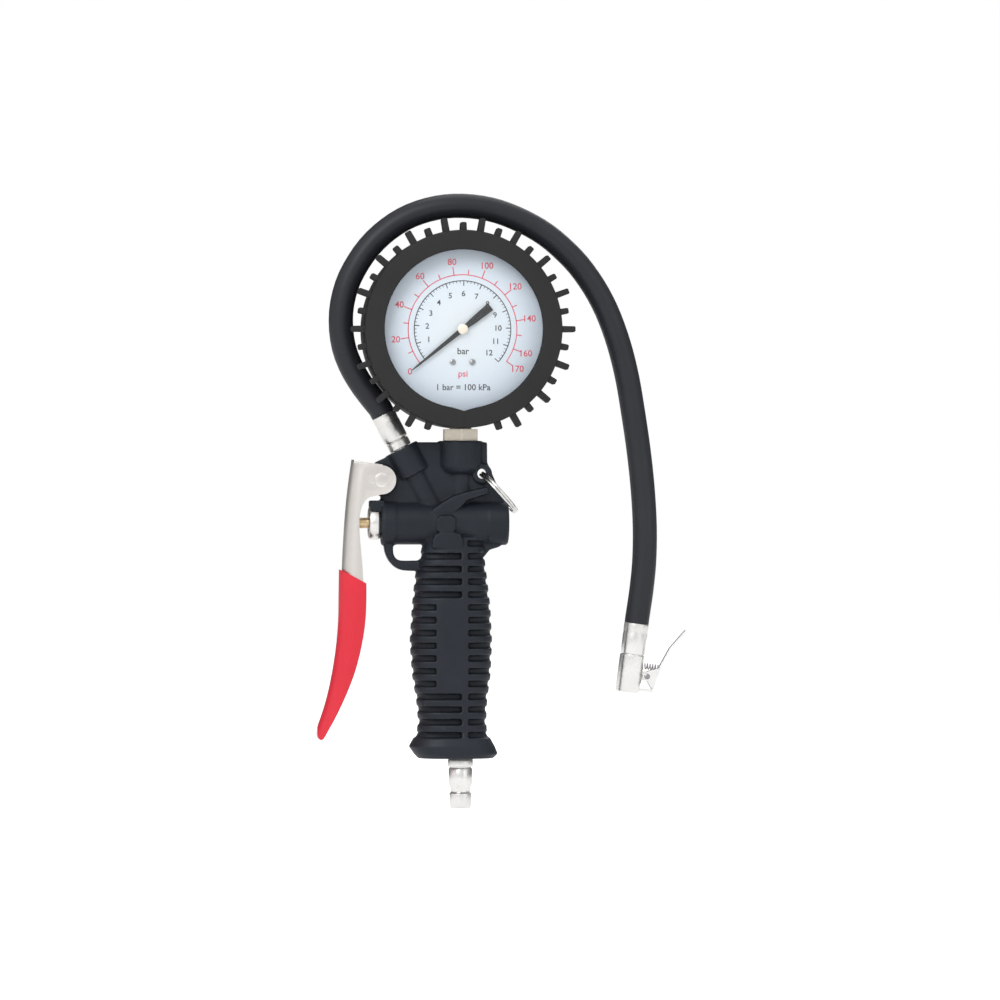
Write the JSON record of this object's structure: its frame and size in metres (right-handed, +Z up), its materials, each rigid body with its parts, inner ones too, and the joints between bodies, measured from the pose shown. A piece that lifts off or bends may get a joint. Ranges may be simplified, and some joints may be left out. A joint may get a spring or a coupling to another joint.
{
  "type": "tyre inflator gun",
  "caption": "Pistol-grip tyre inflator with a squeeze lever, a dial pressure gauge in a toothed rubber boot, a hang ring and a hose with a clip-on chuck.",
  "frame": {"origin": "centre of the inlet nipple's open end, on the gun's upright axis", "axes": "+Z up along the grip to the gauge, -Y the way the dial faces, -X the side of the squeeze lever"},
  "size_m": [0.1667, 0.0367, 0.2759],
  "materials": {
    "body_nylon": "matte",
    "boot_rubber": "matte",
    "hose_rubber": "satin",
    "sleeve_red": "soft dip with a gloss",
    "lever_nickel": "nickel plated",
    "nickel": "nickel plated",
    "brass": "machined",
    "cast_alloy": "as cast",
    "case_steel": "satin",
    "screw_steel": "zinc plated",
    "spring_steel": "drawn wire",
    "dial_white": "matte print",
    "lens_clear": "clear",
    "needle_black": "matte",
    "seal_rubber": "matte"
  },
  "bodies": {
    "gun": {"shell_front": "body_nylon", "shell_back": "body_nylon", "head_screw_left": "screw_steel", "head_screw_right": "screw_steel", "grip_screw_upper": "screw_steel", "grip_screw_lower": "screw_steel", "valve_block": "cast_alloy", "valve_gland": "nickel", "stem_seal": "seal_rubber", "valve_seat": "brass", "valve_spring": "spring_steel", "valve_end_plug": "brass", "inlet_nipple": "nickel", "inlet_seal": "seal_rubber", "lever_pin": "nickel", "gauge_seal": "seal_rubber", "gauge_socket": "brass", "gauge_case": "case_steel", "gauge_bezel": "case_steel", "gauge_lens": "lens_clear", "gauge_dial": "dial_white", "dial_screw_left": "needle_black", "dial_screw_right": "needle_black", "movement_plate_front": "brass", "movement_plate_back": "brass", "bourdon_tube": "brass", "gauge_boot": "boot_rubber", "hose_fitting": "nickel", "hose_ferrule": "nickel", "hose": "hose_rubber", "chuck_ferrule": "nickel", "chuck_body": "nickel", "chuck_depressor": "brass", "chuck_seal": "seal_rubber", "chuck_lever_pin": "screw_steel", "chuck_spring": "spring_steel"},
    "lever": {"lever": "lever_nickel", "lever_sleeve": "sleeve_red"},
    "plunger": {"valve_plunger": "brass", "poppet_seal": "seal_rubber"},
    "sector": {"sector_gear": "brass"},
    "needle": {"needle": "needle_black", "needle_hub": "brass", "pinion_arbor": "brass"},
    "link": {"bourdon_link": "brass"},
    "chuck_lever": {"chuck_lever": "nickel"},
    "hang_ring": {"hang_ring": "nickel"}
  },
  "joints": [
    {"name": "lever_squeeze", "type": "hinge", "parent": "gun", "child": "lever", "pos_m": [-0.036, 0, 0.1476], "axis": [0, -1, 0], "range_deg": [0, 12], "stiffness_Nm_per_rad": 1.5, "springref_deg": -11.46},
    {"name": "plunger_slide", "type": "slide", "parent": "gun", "child": "plunger", "axis": [1, 0, 0], "range_m": [0, 0.0042], "deforming": ["valve_spring"]},
    {"name": "sector_turn", "type": "hinge", "parent": "gun", "child": "sector", "pos_m": [0, 0, 0.2015], "axis": [0, -1, 0], "range_deg": [0, 34.8], "stiffness_Nm_per_rad": 0.02, "springref_deg": -2.86},
    {"name": "needle_turn", "type": "hinge", "parent": "gun", "child": "needle", "pos_m": [0, -0.013, 0.2151], "axis": [0, 1, 0], "range_deg": [0, 261.5]},
    {"name": "link_turn", "type": "hinge", "parent": "sector", "child": "link", "pos_m": [0.00104, 0, 0.19559], "axis": [0, -1, 0], "range_deg": [-35, 0]},
    {"name": "chuck_clip", "type": "hinge", "parent": "gun", "child": "chuck_lever", "pos_m": [0.08418, 0, 0.0591], "axis": [0, -1, 0], "range_deg": [0, 20], "stiffness_Nm_per_rad": 0.1, "springref_deg": -17.19, "deforming": ["chuck_spring"]},
    {"name": "ring_swing", "type": "hinge", "parent": "gun", "child": "hang_ring", "pos_m": [0.0096, 0, 0.1504], "axis": [0, -1, 0], "range_deg": [0, 90]}
  ],
  "couplings": [
    {"joint": "plunger_slide", "follows": "lever_squeeze", "m_per_rad": 0.02},
    {"joint": "needle_turn", "follows": "sector_turn", "ratio": 7.5},
    {"joint": "link_turn", "follows": "sector_turn", "ratio": -1}
  ]
}
